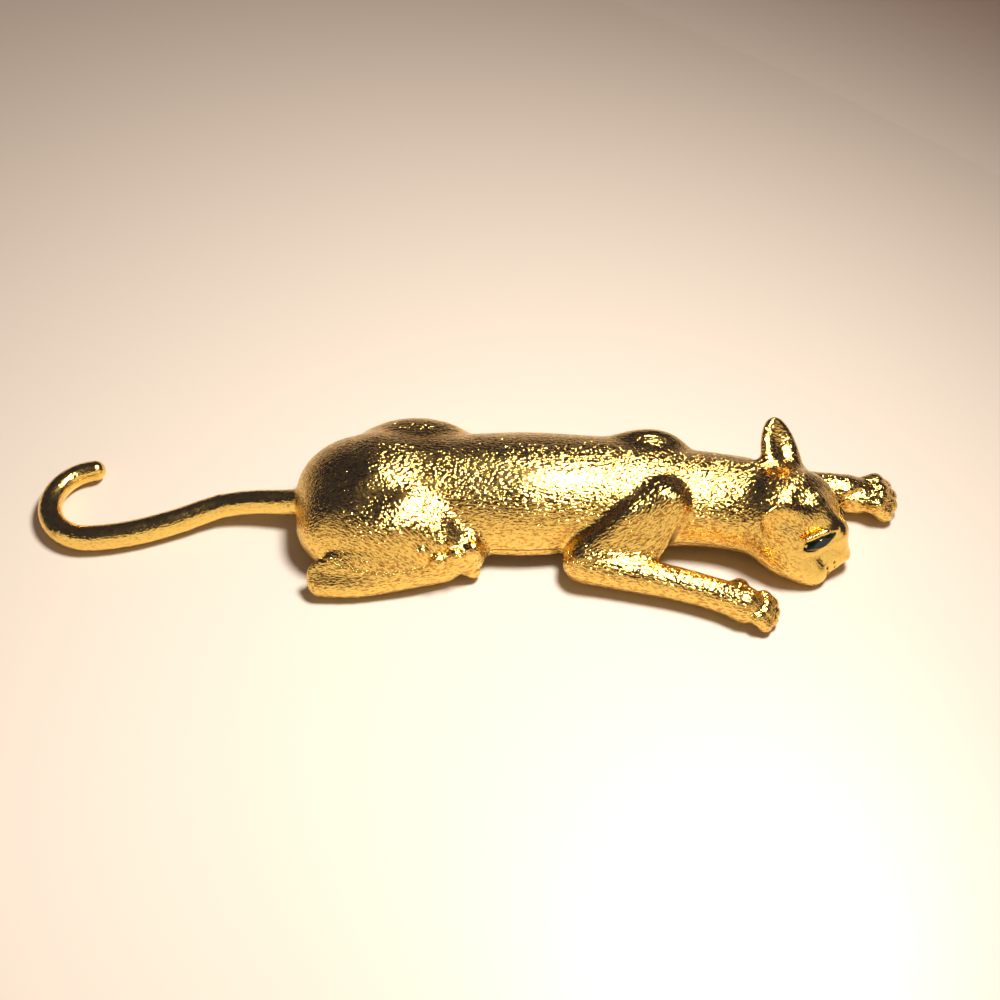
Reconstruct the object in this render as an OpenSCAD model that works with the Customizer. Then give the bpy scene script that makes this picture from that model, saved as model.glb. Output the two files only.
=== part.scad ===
// Brooch in the form of a big cat crouching with its chin down, cast in one piece with an open
// hollow back, two dark eye stones and a plain pin back.
// The part lies as on a table: +X runs from tail to head, +Z is the front of the brooch, Z = 0 is
// the table, and the origin is under the middle of the whole casting.

/* [Body] */
// Length of the body from the rump to the neck's end inside the head
torso_len = 62; // [58:0.5:66]
// Width of the barrel
torso_w = 18.2; // [16:0.2:20]
// Height of the back over the table
torso_h = 10.7; // [9.8:0.1:12]
// Height of the open back's rim over the table
rim_h = 1.8; // [1.4:0.1:2.2]
// Thickness of the cast wall round the hollow
wall = 1.5; // [1.1:0.1:1.9]

/* [Haunches and shoulders] */
// Length of a thigh seen from the side
thigh_len = 17.4; // [15:0.2:19]
// Width of a thigh, across the body
thigh_w = 10; // [8.6:0.2:11]
// Length of the near upper arm's bulge
arm_len = 11; // [9.5:0.5:12.5]
// Thickness of the near upper arm's bulge
arm_d = 6.6; // [5.8:0.2:7.2]
// Length of the far shoulder blade's bulge
blade_len = 10; // [8:0.5:12]
// Height of the far shoulder blade's top over the table
blade_h = 9.8; // [9:0.1:10.6]

/* [Legs] */
// Thickness of a foreleg
foreleg_d = 4.5; // [4:0.1:4.9]
// Reach of the near foreleg from the elbow to its paw
near_reach = 22.3; // [20:0.1:24]
// Reach of the far foreleg from the elbow to its paw
far_reach = 31; // [29:0.1:32.5]
// Length of a hind foot from the hock to its paw
hind_reach = 17.6; // [16:0.2:19]
// Thickness of a hind foot
hind_d = 4; // [3.6:0.1:4.4]
// Width of a paw
paw_w = 5.4; // [4.8:0.1:6]

/* [Head] */
// Length of the skull
skull_len = 12.2; // [11.4:0.2:13]
// Width of the skull
skull_w = 12.6; // [11.8:0.2:13.6]
// Height of the skull
skull_h = 9.6; // [9:0.2:10.4]
// Reach of the nose in front of the skull's middle
muzzle_len = 8.4; // [7.8:0.1:9.2]
// Turn of the head towards the near side
head_turn = 30; // [25:1:35]
// Bow of the head
head_bow = 22; // [18:1:26]
// Height of an ear
ear_h = 6.2; // [5.4:0.1:7]
// Width of an ear at its root
ear_w = 5.6; // [5:0.1:6.2]

/* [Tail] */
// Thickness of the tail
tail_d = 3.3; // [2.9:0.1:3.7]
// Reach of the tail from the rump to the curl's middle
tail_reach = 26.8; // [25:0.2:29]
// Radius of the curl on the tail's middle line
curl_r = 5.85; // [5.2:0.05:6.4]
// Sweep of the curl
curl_sweep = 181; // [150:1:200]

/* [Eye stones] */
// Length of an eye stone
eye_len = 4.6; // [3.8:0.1:4.8]
// Width of an eye stone
eye_w = 1.8; // [1.35:0.05:1.9]
// Height of an eye stone over its girdle
eye_crown = 0.45; // [0.3:0.05:0.6]
// Depth of an eye stone under its girdle
eye_depth = 0.7; // [0.5:0.05:0.9]
// Gap between an eye stone and its pocket
eye_gap = 0.08; // [0.05:0.01:0.12]

/* [Pin back] */
// Length of the pin back's bar
bar_len = 40; // [36:0.5:43]
// Width of the bar
bar_w = 3.6; // [3:0.1:4.2]
// Thickness of the bar
bar_t = 0.9; // [0.7:0.05:1.1]
// Thickness of the pin's stem
stem_d = 1; // [0.8:0.05:1.2]
// Gap between the bar and the stem
stem_gap = 1.1; // [0.9:0.05:1.4]
// Height of the stem's middle over the table
stem_z = 1.15; // [1:0.05:1.3]
// Gap between the bar and the ribs that carry it
seat_gap = 0.12; // [0.05:0.01:0.2]
// Thickness of a carrying rib
rib_t = 2.2; // [1.6:0.1:2.8]

/* [Hidden] */

GOLD = "#d8a63c";
EYE = "#16302c";
PIN = "#c9993a";

// The middle of the casting's outline, seen from the body's own zero on its spine
middle = [0.00556 * torso_len, -0.201 * torso_w];
// The rump's end on the body's own axes
rump_x = -0.3516 * torso_len;

ball_sides = 10;
bulge_sides = 20;
toe_sides = 8;
tube_sides = 12;
loft_steps = 46;
hollow_steps = 16;
ring_steps = 26;
hollow_ring_steps = 10;
below = -0.1 * torso_h;
shy = 0.001;
least = 0.01 * torso_h;
steepest = 82;

// Columns of the torso's table: place along torso_len, side shift as a share of torso_w, height of
// the widest line as a share of torso_h, width as a share of torso_w, rise as a share of torso_h
TORSO = [
  [0.00, 0.000, 0.37, 0.96, 0.60],
  [0.19, 0.000, 0.35, 0.98, 0.65],
  [0.35, 0.000, 0.30, 0.95, 0.69],
  [0.48, 0.000, 0.28, 1.00, 0.72],
  [0.61, 0.000, 0.31, 0.93, 0.665],
  [0.72, -0.016, 0.355, 0.86, 0.60],
  [0.82, -0.055, 0.38, 0.77, 0.505],
  [0.89, -0.093, 0.40, 0.757, 0.486],
  [1.00, -0.210, 0.442, 0.77, 0.462],
];
// Share of torso_len over which the rump and the neck's end round off
rump_round = 0.15;
neck_round = 0.07;
// Share of torso_len where the hollow ends in the neck
hollow_end = 0.87;

// Columns of a leg's table: along its reach, to the side as a share of its side length, height as
// a share of its thickness, thickness as a share of its thickness
NEAR_FORELEG = [
  [0.00, 0.000, 0.60, 1.16],
  [0.12, 0.006, 0.59, 1.17],
  [0.31, 0.058, 0.54, 1.06],
  [0.58, 0.130, 0.51, 0.96],
  [0.78, 0.200, 0.48, 0.94],
  [0.89, 0.255, 0.48, 1.02],
  [1.00, 0.280, 0.48, 1.00],
];
FAR_FORELEG = [
  [0.00, 0.000, 0.86, 1.25],
  [0.19, 0.317, 0.57, 1.12],
  [0.42, 0.600, 0.52, 1.02],
  [0.68, 0.751, 0.50, 0.98],
  [0.86, 0.907, 0.50, 1.06],
  [1.00, 1.000, 0.50, 1.06],
];
NEAR_HIND = [
  [0.00, 0.000, 0.50, 1.10],
  [0.10, 0.000, 0.50, 1.15],
  [0.31, -0.003, 0.475, 1.10],
  [0.50, -0.034, 0.475, 1.09],
  [0.79, -0.094, 0.49, 1.06],
  [1.00, -0.128, 0.50, 1.05],
];
FAR_HIND = [
  [0.00, 0.000, 0.48, 0.92],
  [0.10, 0.060, 0.48, 0.97],
  [0.26, 0.125, 0.50, 1.02],
  [0.54, 0.150, 0.53, 1.05],
  [0.80, 0.100, 0.52, 1.05],
  [1.00, 0.035, 0.52, 1.02],
];

// Columns of a muscle's table: place along torso_len, to the side as a share of torso_w, height as
// a share of torso_h, then length, width and height as shares of the muscle's own sizes
THIGHS = [
  [0.198, -0.346, 0.30, 1.06, 1.24, 1.23],
  [0.116, -0.275, 0.32, 0.79, 1.28, 1.16],
  [0.197, -0.527, 0.206, 1.01, 0.86, 0.67],
  [0.294, -0.450, 0.42, 0.38, 0.60, 0.62],
  [0.248, 0.379, 0.336, 0.99, 0.92, 0.97],
];
UPPER_ARM = [
  [0.761, -0.264, 0.645, 0.65, 1.09, 1.09],
  [0.735, -0.345, 0.565, 0.67, 1.13, 1.13],
  [0.706, -0.429, 0.486, 0.70, 1.18, 1.18],
  [0.662, -0.489, 0.402, 0.64, 1.06, 1.06],
  [0.618, -0.549, 0.318, 0.56, 0.94, 0.94],
];
FAR_BLADE = [
  [0.739, 0.258, 0.495, 1.12, 1.10, 0.90],
];
// Width over which one muscle blends into the next
blend_w = 0.15 * torso_h;

// Columns of the head's table: forward as a share of muzzle_len, to each side as a share of
// skull_w, up as a share of skull_h, then length, width and height as the same shares
HEAD = [
  [0.13, 0.320, -0.20, 1.00, 0.46, 0.65],
  [0.55, 0.278, -0.26, 0.69, 0.41, 0.52],
  [0.62, 0.00, -0.19, 0.60, 0.48, 0.48],
  [0.70, 0.00, -0.09, 0.60, 0.40, 0.50],
  [0.73, 0.127, -0.18, 0.41, 0.26, 0.34],
  [0.87, 0.00, -0.07, 0.20, 0.16, 0.15],
  [0.60, 0.00, -0.37, 0.55, 0.38, 0.34],
];
// Bridge of the nose: forward, up and thickness along it, as the same shares
BRIDGE = [
  [0.12, 0.23, 0.54],
  [0.57, 0.135, 0.44],
  [0.79, -0.09, 0.34],
];
// The forehead is flat: the direction that it faces, and how far it lies over the skull's middle
// as a share of skull_h
forehead_face = [0.36, 0.02, 0.93];
forehead_rise = 0.39;

// The near eye: its middle as shares of muzzle_len, skull_w and skull_h, then the direction of its
// length and of its face; the far eye sits lower round the head by far_eye_drop degrees
eye_place = [0.470, -0.272, 0.258];
eye_along = [0.44, 0.815, 0.377];
eye_face = [0.514, -0.572, 0.636];
far_eye_drop = 24;

// Columns of an ear's table: height as a share of ear_h, then width and thickness as shares of ear_w
EAR = [
  [-0.20, 1.00, 0.60],
  [0.28, 0.96, 0.50],
  [0.58, 0.80, 0.38],
  [0.80, 0.55, 0.28],
];

// Columns of the tail's table: back along tail_reach, side as a share of tail_reach, height as a
// share of tail_d, thickness as a share of tail_d
TAIL = [
  [-0.10, -0.042, 1.20, 1.30],
  [0.00, -0.042, 0.97, 1.03],
  [0.18, -0.026, 0.82, 0.97],
  [0.37, -0.037, 0.68, 0.97],
  [0.55, -0.108, 0.56, 0.99],
  [0.73, -0.171, 0.49, 1.02],
];
// Share of tail_d that the tail's middle lies over the table in the curl, and the tip's thickness
curl_rise = 0.45;
tip_share = 0.86;

// One column of a table at place s, on a smooth curve through its rows
function slope(table, i, col) =
  let (a = max(i - 1, 0), b = min(i + 1, len(table) - 1))
  (table[b][col] - table[a][col]) / (table[b][0] - table[a][0]);
function row_at(table, s, i = 0) =
  i + 2 >= len(table) || table[i + 1][0] >= s ? i : row_at(table, s, i + 1);
function read(table, s, col) =
  let (
    i = row_at(table, s),
    h = table[i + 1][0] - table[i][0],
    t = min(max((s - table[i][0]) / h, 0), 1)
  )
  (2 * t ^ 3 - 3 * t ^ 2 + 1) * table[i][col] + (t ^ 3 - 2 * t ^ 2 + t) * h * slope(table, i, col)
  + (3 * t ^ 2 - 2 * t ^ 3) * table[i + 1][col] + (t ^ 3 - t ^ 2) * h * slope(table, i + 1, col);

// Rounding of a form's end: 0 at the end, 1 from reach onwards, on a quarter of an ellipse
function end_round(along, reach) = along >= reach ? 1 : sqrt(max(1 - (1 - along / reach) ^ 2, 0));

// Place on the body's own axes from shares of the torso's sizes
function on_body(s, side, up) = [rump_x + s * torso_len, side * torso_w, up * torso_h];

// Muscles as a centre and half sizes
function muscles(table, size) =
  [for (m = table) [on_body(m[0], m[1], m[2]), [m[3] * size.x, m[4] * size.y, m[5] * size.z] / 2]];
all_muscles = concat(
  muscles(THIGHS, [thigh_len, thigh_w, torso_h]),
  muscles(UPPER_ARM, [arm_len, arm_d, arm_d]),
  muscles(FAR_BLADE, [blade_len, 0.33 * torso_w, blade_h])
);

// Distance from a spot in the plane at x, in direction t, to the far side of one muscle, or 0
function reach_of(m, x, spot, t) =
  let (
    left = 1 - ((x - m[0].x) / m[1].x) ^ 2,
    k = left > 0 ? sqrt(left) : 0,
    p = [(spot.x - m[0].y) / m[1].y, (spot.y - m[0].z) / m[1].z],
    d = [cos(t) / m[1].y, sin(t) / m[1].z],
    disc = (p * d) ^ 2 - (d * d) * (p * p - k ^ 2)
  )
  k == 0 || disc < 0 ? 0 : (sqrt(disc) - p * d) / (d * d);

// The larger of two lengths, rounded where they are nearly the same
function blend(a, b) =
  let (h = max(blend_w - abs(a - b), 0) / blend_w)
  max(a, b) + h ^ 2 * blend_w / 4;
function blend_all(r, x, spot, t, i = 0) =
  i >= len(all_muscles) ? r
  : blend_all(blend(r, reach_of(all_muscles[i], x, spot, t)), x, spot, t, i + 1);

// One ring of the torso at place s: the barrel's ellipse with the muscles standing out of it
function torso_ring(s, first, last) =
  let (
    x = rump_x + s * torso_len,
    mid_y = read(TORSO, s, 1) * torso_w,
    mid_z = read(TORSO, s, 2) * torso_h,
    lens = min(end_round(s - first, rump_round), end_round(last - s, neck_round)),
    a = read(TORSO, s, 3) * torso_w / 2 * lens,
    b = read(TORSO, s, 4) * torso_h * lens,
    under = min(asin(min((mid_z - rim_h) / max(b, least), 1)), steepest)
  )
  [
    for (k = [0:ring_steps])
      let (
        t = -under + (180 + 2 * under) * k / ring_steps,
        barrel = a * b / sqrt((b * cos(t)) ^ 2 + (a * sin(t)) ^ 2),
        r = blend_all(barrel, x, [mid_y, mid_z], t)
      )
      [x, mid_y + r * cos(t), max(mid_z + r * sin(t), rim_h)]
  ];

// One ring of the hollow, the barrel drawn in by inset, open downwards
function hollow_ring(s, inset, first, last) =
  let (
    mid_y = read(TORSO, s, 1) * torso_w,
    mid_z = max(read(TORSO, s, 2) * torso_h, rim_h + 0.2 * wall),
    lens = min(end_round(s - first, rump_round), end_round(last - s, neck_round)),
    a = (read(TORSO, s, 3) * torso_w / 2 - inset) * lens,
    b = (read(TORSO, s, 4) * torso_h - inset) * lens,
    arc = [
      for (k = [0:hollow_ring_steps])
        let (t = 180 * k / hollow_ring_steps)
        [a * cos(t), mid_z + b * sin(t)]
    ]
  )
  [for (p = concat(arc, [[-a, below], [a, below]])) [rump_x + s * torso_len, mid_y + p.x, p.y]];

// Skin through a list of rings with the same number of points, closed at both ends
module skin(rings) {
  n = len(rings[0]);
  m = len(rings);
  sides = [
    for (i = [0:m - 2], k = [0:n - 1])
      [i * n + k, (i + 1) * n + k, (i + 1) * n + (k + 1) % n, i * n + (k + 1) % n]
  ];
  first = [for (k = [0:n - 1]) k];
  last = [for (k = [n - 1:-1:0]) (m - 1) * n + k];
  polyhedron([for (r = rings) each r], concat([first], sides, [last]), convexity = 6);
}

// Places of the rings, closer together at the two rounded ends
function ring_places(first, last, steps = loft_steps) =
  [for (i = [0:steps]) first + (last - first) * (1 - cos(180 * i / steps)) / 2];

module torso() {
  skin([for (s = ring_places(shy, 1 - shy, loft_steps)) torso_ring(s, 0, 1)]);
}

module hollow(inset = wall) {
  first = inset / torso_len;
  last = hollow_end + (wall - inset) / torso_len;
  skin([for (s = ring_places(first + shy, last - shy, hollow_steps)) hollow_ring(s, inset, first, last)]);
}

module ball(at, d, sides = ball_sides) {
  translate(at) sphere(d = d, $fn = sides);
}

module bulge(at, size) {
  translate(at) scale(size) sphere(d = 1, $fn = bulge_sides);
}

function unit(v) = v / norm(v);

// The middle of a round form at place s; its spots are rows of place, x, y, z and thickness
function spot_at(spots, s) = [for (c = [1:3]) read(spots, s, c)];
// One ring of a round form that follows its spots
function tube_ring(spots, s, first_round, last_round) =
  let (
    near = 0.01,
    thinnest = 0.02,
    here = spot_at(spots, s),
    on = spot_at(spots, min(s + near, 1)) - spot_at(spots, max(s - near, 0)),
    side = unit([-on.y, on.x, 0]),
    up = unit(cross(unit(on), side)),
    lens = max(min(end_round(s, first_round), end_round(1 - s, last_round)), thinnest),
    r = read(spots, s, 4) / 2 * lens
  )
  [for (k = [0:tube_sides - 1]) let (t = 360 * k / tube_sides) here + r * (cos(t) * side + sin(t) * up)];

// A round form through its spots, with both ends rounded over these shares of its length
module tube(spots, first_round, last_round, steps = 9) {
  skin([for (s = ring_places(shy, 1 - shy, steps)) tube_ring(spots, s, first_round, last_round)]);
}

// A limb through the rows of its table: from start, with its reach, side length and thickness
module limb(table, start, reach, side, d) {
  spots = [
    for (r = table) [r[0], start.x + r[0] * reach, start.y + r[1] * side, r[2] * d, r[3] * d]
  ];
  tube(spots, d / 2 / reach, d / 2 / reach);
}

// A paw lying on the table: a back of the foot and four toes that fan out
module paw(at, turn, size = 1) {
  toe_d = 0.36 * paw_w;
  toe_reach = 0.52 * paw_w;
  translate([at.x, at.y, 0]) rotate(turn) scale(size) {
    hull() {
      ball([-0.35 * paw_w, 0, 0.36 * paw_w], 0.78 * paw_w, tube_sides);
      for (side = [-1, 1]) {
        ball([0.1 * paw_w, side * 0.14 * paw_w, 0.33 * paw_w], 0.70 * paw_w, tube_sides);
      }
    }
    for (k = [-1.5:1:1.5]) {
      hull() {
        ball([0.1 * paw_w, 0.15 * k * paw_w, 0.37 * paw_w], 0.3 * paw_w, toe_sides);
        ball([toe_reach * (1 - 0.07 * k ^ 2), 0.21 * k * paw_w, 0.20 * paw_w], toe_d, toe_sides);
      }
    }
  }
}

near_elbow = on_body(0.560, -0.582, 0);
far_elbow = on_body(0.723, 0.395, 0);
near_hock = on_body(0.0355, -0.731, 0);
far_hock = on_body(0.102, 0.450, 0);
head_at = on_body(1.037, -0.286, 0.523);
// The far foreleg ends beside the cheek: its way to the side from the elbow
far_side = head_at.y + 0.48 * skull_w - far_elbow.y;

module legs() {
  limb(NEAR_FORELEG, near_elbow, near_reach, -near_reach, foreleg_d);
  limb(FAR_FORELEG, far_elbow, far_reach, far_side, foreleg_d);
  limb(NEAR_HIND, near_hock, hind_reach, -hind_reach, hind_d);
  limb(FAR_HIND, far_hock, hind_reach, hind_reach, hind_d);
  paw([near_elbow.x + 1.045 * near_reach, near_elbow.y - 0.285 * near_reach], -19);
  paw([far_elbow.x + 0.945 * far_reach, far_elbow.y + 0.976 * far_side], -6, 1.18);
  paw([near_hock.x + 1.04 * hind_reach, near_hock.y + 0.193 * hind_reach], 12, 1.12);
  paw([far_hock.x + 1.00 * hind_reach, far_hock.y + 0.04 * hind_reach], -12);
}

// The head's own axes: x to the nose, y to the far side, z up
module head_axes() {
  translate(head_at) rotate([-3, head_bow, -head_turn]) children();
}

// Turns z along axis and x towards face
module facing(axis, face) {
  z = unit(axis);
  y = unit(cross(z, face));
  x = cross(y, z);
  multmatrix([[x.x, y.x, z.x, 0], [x.y, y.y, z.y, 0], [x.z, y.z, z.z, 0]]) children();
}

// An ear on the head's axes: a flat rounded blade from root to tip, hollowed on its open side
module ear(root, axis, face) {
  translate(root) facing(axis, face) difference() {
    hull() {
      for (r = EAR) {
        translate([0, 0, r[0] * ear_h]) scale([r[2], r[1], 0.5]) sphere(d = ear_w, $fn = tube_sides + 2);
      }
    }
    translate([0.34 * ear_w, 0, 0.46 * ear_h]) scale([0.52 * ear_w, 0.62 * ear_w, 0.90 * ear_h])
      sphere(d = 1, $fn = tube_sides + 2);
  }
}

module head() {
  head_axes() {
    difference() {
      bulge([0, 0, 0], [skull_len, skull_w, skull_h]);
      facing(forehead_face, [1, 0, 0])
        translate([-skull_len, -skull_w, forehead_rise * skull_h])
        cube([2 * skull_len, 2 * skull_w, skull_h]);
    }
    for (r = HEAD, side = r[1] == 0 ? [0] : [-1, 1]) {
      bulge(
        [r[0] * muzzle_len, side * r[1] * skull_w, r[2] * skull_h],
        [r[3] * muzzle_len, r[4] * skull_w, r[5] * skull_h]
      );
    }
    hull() {
      for (r = BRIDGE) {
        ball([r[0] * muzzle_len, 0, r[1] * skull_h], r[2] * skull_h);
      }
    }
    ear([-0.42 * skull_len, 0.38 * skull_w, 0.10 * skull_h], [-0.73, 0.59, 0.35], [0.24, -0.06, 0.96]);
    ear([-0.01 * skull_len, -0.29 * skull_w, 0.22 * skull_h], [-0.82, -0.49, 0.29], [0.34, -0.71, 0.48]);
  }
}

// The tail from the rump, with its curl lying on the table
curl_x = rump_x - tail_reach;
module tail() {
  curl_start = -82;
  turns = 20;
  curl_share = 1.03;
  root_round = 0.01;
  tip_round = 0.035;
  tail_steps = 34;
  root = [
    for (r = TAIL) [rump_x - r[0] * tail_reach, r[1] * tail_reach, r[2] * tail_d, r[3] * tail_d]
  ];
  curl = [
    for (j = [0:turns])
      let (t = curl_start - curl_sweep * j / turns)
      [
        curl_x + curl_r * cos(t), curl_r * sin(t), curl_rise * tail_d,
        tail_d * (curl_share + (tip_share - curl_share) * j / turns)
      ]
  ];
  all = concat(root, curl);
  tube([for (i = [0:len(all) - 1]) concat([i / (len(all) - 1)], all[i])], root_round, tip_round, tail_steps);
}

// Outline of a pointed oval stone, grown by gap, at a share of its size
function stone_ring(share, z, gap) =
  let (n = 7, a = eye_len / 2, b = eye_w / 2, r = (a ^ 2 + b ^ 2) / (2 * b), w = asin(a / r))
  [
    for (side = [1, -1], k = [0:n - 1])
      let (
        t = w * (1 - 2 * k / n) * side,
        out = gap * [sin(t * 90 / w), side * cos(t * 90 / w)]
      )
      [share * r * sin(t) + out.x, share * side * (r * cos(t) - r + b) + out.y, z]
  ];

// A stone cut with a flat table, a ring of facets round it and a small back
module stone(gap = 0, rise = eye_crown) {
  hull() {
    skin([stone_ring(1, 0, gap), stone_ring(0.62, rise, gap)]);
    skin([stone_ring(0.7, -eye_depth - gap, gap), stone_ring(1, 0, gap)]);
  }
}

// Puts a stone in the eye on one side of the head: side is -1 for the near eye, 1 for the far one
module in_eye(side) {
  far = side > 0 ? 1 : 0;
  head_axes() rotate([-far * far_eye_drop, 0, 0]) mirror([0, far, 0])
    translate([eye_place.x * muzzle_len, eye_place.y * skull_w, eye_place.z * skull_h])
    facing(eye_face, eye_along) children();
}

// Ribs across the hollow that carry the pin back's bar
bar_z = stem_z + stem_d / 2 + stem_gap;
rib_z = bar_z + bar_t + seat_gap;
bar_x = rump_x + 0.09 * torso_len;
rib_places = [0.2, 0.8];
module ribs() {
  intersection() {
    hollow(wall / 2);
    for (s = rib_places) {
      translate([bar_x + s * bar_len - rib_t / 2, -torso_w, rib_z])
        cube([rib_t, 2 * torso_w, torso_h]);
    }
  }
}

// Keeps what lies over a height
module above(z) {
  intersection() {
    union() children();
    translate([-torso_len * 1.5, -torso_len, z]) cube([torso_len * 3, torso_len * 2, torso_h * 2]);
  }
}

module casting() {
  color(GOLD) translate([-middle.x, -middle.y, 0]) {
    difference() {
      union() {
        torso();
        above(0) {
          legs();
          head();
          tail();
        }
      }
      hollow();
      for (side = [-1, 1]) {
        in_eye(side) stone(eye_gap, 3 * eye_crown);
      }
    }
    ribs();
  }
}

module eye_stone_near() {
  color(EYE) translate([-middle.x, -middle.y, 0]) in_eye(-1) stone();
}

module eye_stone_far() {
  color(EYE) translate([-middle.x, -middle.y, 0]) in_eye(1) stone();
}

// Bar, hinge block, stem and catch in one piece
module pin_back() {
  block_l = 2.4 * stem_d;
  block_w = 0.75 * bar_w;
  knuckle_d = 1.5 * stem_d;
  catch_l = 1.6 * stem_d;
  catch_d = 1.9 * stem_d;
  drop = bar_z - stem_z + bar_t / 2;
  inset = 0.6 * stem_d;
  catch_x = bar_len - 4 * catch_l;
  color(PIN) translate([bar_x - middle.x, -middle.y, 0]) {
    translate([0, -bar_w / 2, bar_z]) cube([bar_len, bar_w, bar_t]);
    translate([inset, -block_w / 2, stem_z]) cube([block_l, block_w, drop]);
    translate([inset + block_l / 2, block_w / 2, stem_z]) rotate([90, 0, 0])
      cylinder(d = knuckle_d, h = block_w, $fn = 32);
    translate([inset + block_l / 2, 0, stem_z]) rotate([0, 90, 0])
      cylinder(d = stem_d, h = catch_x + catch_l - block_l / 2, $fn = 32);
    translate([inset + catch_x + catch_l, 0, stem_z]) rotate([0, 90, 0])
      cylinder(d1 = stem_d, d2 = stem_d / 4, h = 2 * stem_d, $fn = 32);
    translate([catch_x, 0, stem_z]) rotate([0, 90, 0])
      cylinder(d = catch_d, h = catch_l, $fn = 32);
    translate([catch_x, -catch_d / 2, stem_z]) cube([catch_l, catch_d * 0.45, drop]);
  }
}

casting();
eye_stone_near();
eye_stone_far();
pin_back();
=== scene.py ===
import math

import bpy
import numpy as np
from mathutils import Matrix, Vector


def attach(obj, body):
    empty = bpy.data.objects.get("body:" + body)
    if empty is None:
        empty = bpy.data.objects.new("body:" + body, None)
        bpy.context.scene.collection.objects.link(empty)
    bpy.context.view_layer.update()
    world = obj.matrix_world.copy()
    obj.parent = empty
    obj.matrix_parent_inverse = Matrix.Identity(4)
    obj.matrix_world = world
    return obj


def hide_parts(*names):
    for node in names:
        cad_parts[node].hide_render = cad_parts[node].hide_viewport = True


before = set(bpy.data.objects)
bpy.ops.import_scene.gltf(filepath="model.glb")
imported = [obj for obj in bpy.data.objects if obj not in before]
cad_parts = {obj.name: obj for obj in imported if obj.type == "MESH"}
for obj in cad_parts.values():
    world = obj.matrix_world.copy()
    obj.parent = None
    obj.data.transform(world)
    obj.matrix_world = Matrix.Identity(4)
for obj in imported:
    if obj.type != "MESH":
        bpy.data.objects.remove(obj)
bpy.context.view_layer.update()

# Sizes are in mm on the cat's own axes: x from rump to head, y to the far side, z up from the table.
# ROW_ZERO is the place of the row frame's origin on those axes.
MM = 0.001
ROW_ZERO = np.array([0.345, -3.658, 0.0])

# The grid on which the cat's skin is worked out: its step, its corners, the distance that it
# holds while empty, and the most triangles that the skin keeps
STEP = 0.22
GRID_LOW = np.array([-58.5, -22.5, -0.9])
GRID_HIGH = np.array([58.5, 14.5, 14.6])
EMPTY = 9.0
MOST_TRIANGLES = 190000
# Numbers that stand for endlessly far and for nearly nothing
ENDLESS = 1e9
TINY = 1e-6

# The body's lower edge over the table, and the metal's thickness round the hollow
RIM = 1.8
WALL = 1.5

# Rows of place along x, side shift, height of the widest line, half width, half height
TORSO = [
    (-26, 0.0, 4.0, 6.0, 5.0),
    (-18, 0.0, 4.0, 8.0, 6.2),
    (-10, 0.0, 3.6, 8.7, 6.9),
    (0, 0.0, 3.2, 8.7, 7.4),
    (8, 0.0, 3.0, 9.1, 7.7),
    (16, 0.0, 3.3, 8.5, 7.1),
    (23, -0.3, 3.8, 7.8, 6.4),
    (29, -1.0, 4.1, 7.0, 5.4),
    (33, -1.7, 4.3, 6.9, 5.2),
    (38, -3.2, 4.7, 7.1, 5.0),
    (44, -4.8, 4.8, 6.8, 4.8),
]
TORSO_ENDS = (-13.0, 40.0)
# The box round the barrel: to either side, down and up
BARREL_SIDE = 10
BARREL_LOW = -4
BARREL_HIGH = 11.5

# Round forms that swell the barrel: middle and half sizes
RUMP = ((-12.4, -0.3, 4.0), (9.4, 8.5, 6.7))
FAR_THIGH = ((-6.4, 6.9, 3.6), (8.6, 4.6, 5.2))
NEAR_THIGH = ((-9.5, -6.3, 3.2), (9.2, 6.2, 6.6))
NEAR_HAUNCH = ((-14.6, -5.0, 3.4), (6.9, 6.4, 6.2))
NEAR_SHANK = ((-9.6, -9.6, 2.2), (8.8, 4.3, 3.6))
FAR_BLADE = ((24.0, 5.2, 5.2), (5.6, 2.9, 4.3))
# The hock's flat side: middle, half sizes, turn and tilt in degrees
HOCK = ((-12.6, -12.3, 3.2), (7.0, 1.1, 2.9), 4.0, 60.0)

# Limbs as rows of x, y, z and radius
KNEE = [(-7, -5.5, 7.0, 2.5), (-3.6, -8.2, 4.8, 2.9), (0.1, -9.1, 3.1, 2.9)]
UPPER_ARM = [(25.4, -4.8, 6.9, 3.6), (22, -7.8, 5.2, 3.9), (16.5, -10.0, 3.4, 3.1)]
NEAR_FORELEG = [
    (15.3, -10.7, 2.7, 2.6),
    (20.3, -12.0, 2.4, 2.35),
    (27.0, -13.7, 2.3, 2.15),
    (32.0, -15.4, 2.2, 2.1),
    (35.2, -16.8, 2.2, 2.25),
]
FAR_FORELEG = [
    (23.0, 7.2, 4.0, 2.8),
    (29.0, 5.2, 2.6, 2.5),
    (36.0, 3.4, 2.4, 2.3),
    (44.0, 2.4, 2.3, 2.2),
    (50.0, 1.3, 2.4, 2.4),
]
NEAR_HIND = [
    (-17.9, -13.2, 1.6, 1.7),
    (-13.3, -13.3, 1.5, 1.6),
    (-8.4, -12.3, 1.5, 1.7),
    (-2.5, -10.8, 1.8, 1.9),
]
FAR_HIND = [(-15.5, 8.2, 2.0, 1.9), (-11, 10.4, 2.1, 2.0), (-6, 10.9, 2.2, 2.1), (-1, 9.6, 2.1, 2.1)]
# The arm's flat side: the direction that it faces and its distance from the axes' zero
ARM_FACE = np.array([0.12, -0.80, 0.588])
ARM_FLAT = 14.2

# Paws: place on the table, turn in degrees and size
NEAR_FOREPAW = ((35.9, -16.9), -19, 0.95)
FAR_FOREPAW = ((52.3, 0.9), -6, 1.2)
NEAR_HIND_PAW = ((-1.9, -9.5), 12, 1.1)
FAR_HIND_PAW = ((1.2, 8.9), -12, 1.0)
# A paw's pad: middle and half sizes, forward, to the side and up
PAD = ((-0.4, 0.0, 1.8), (2.6, 2.2, 1.7))
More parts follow.
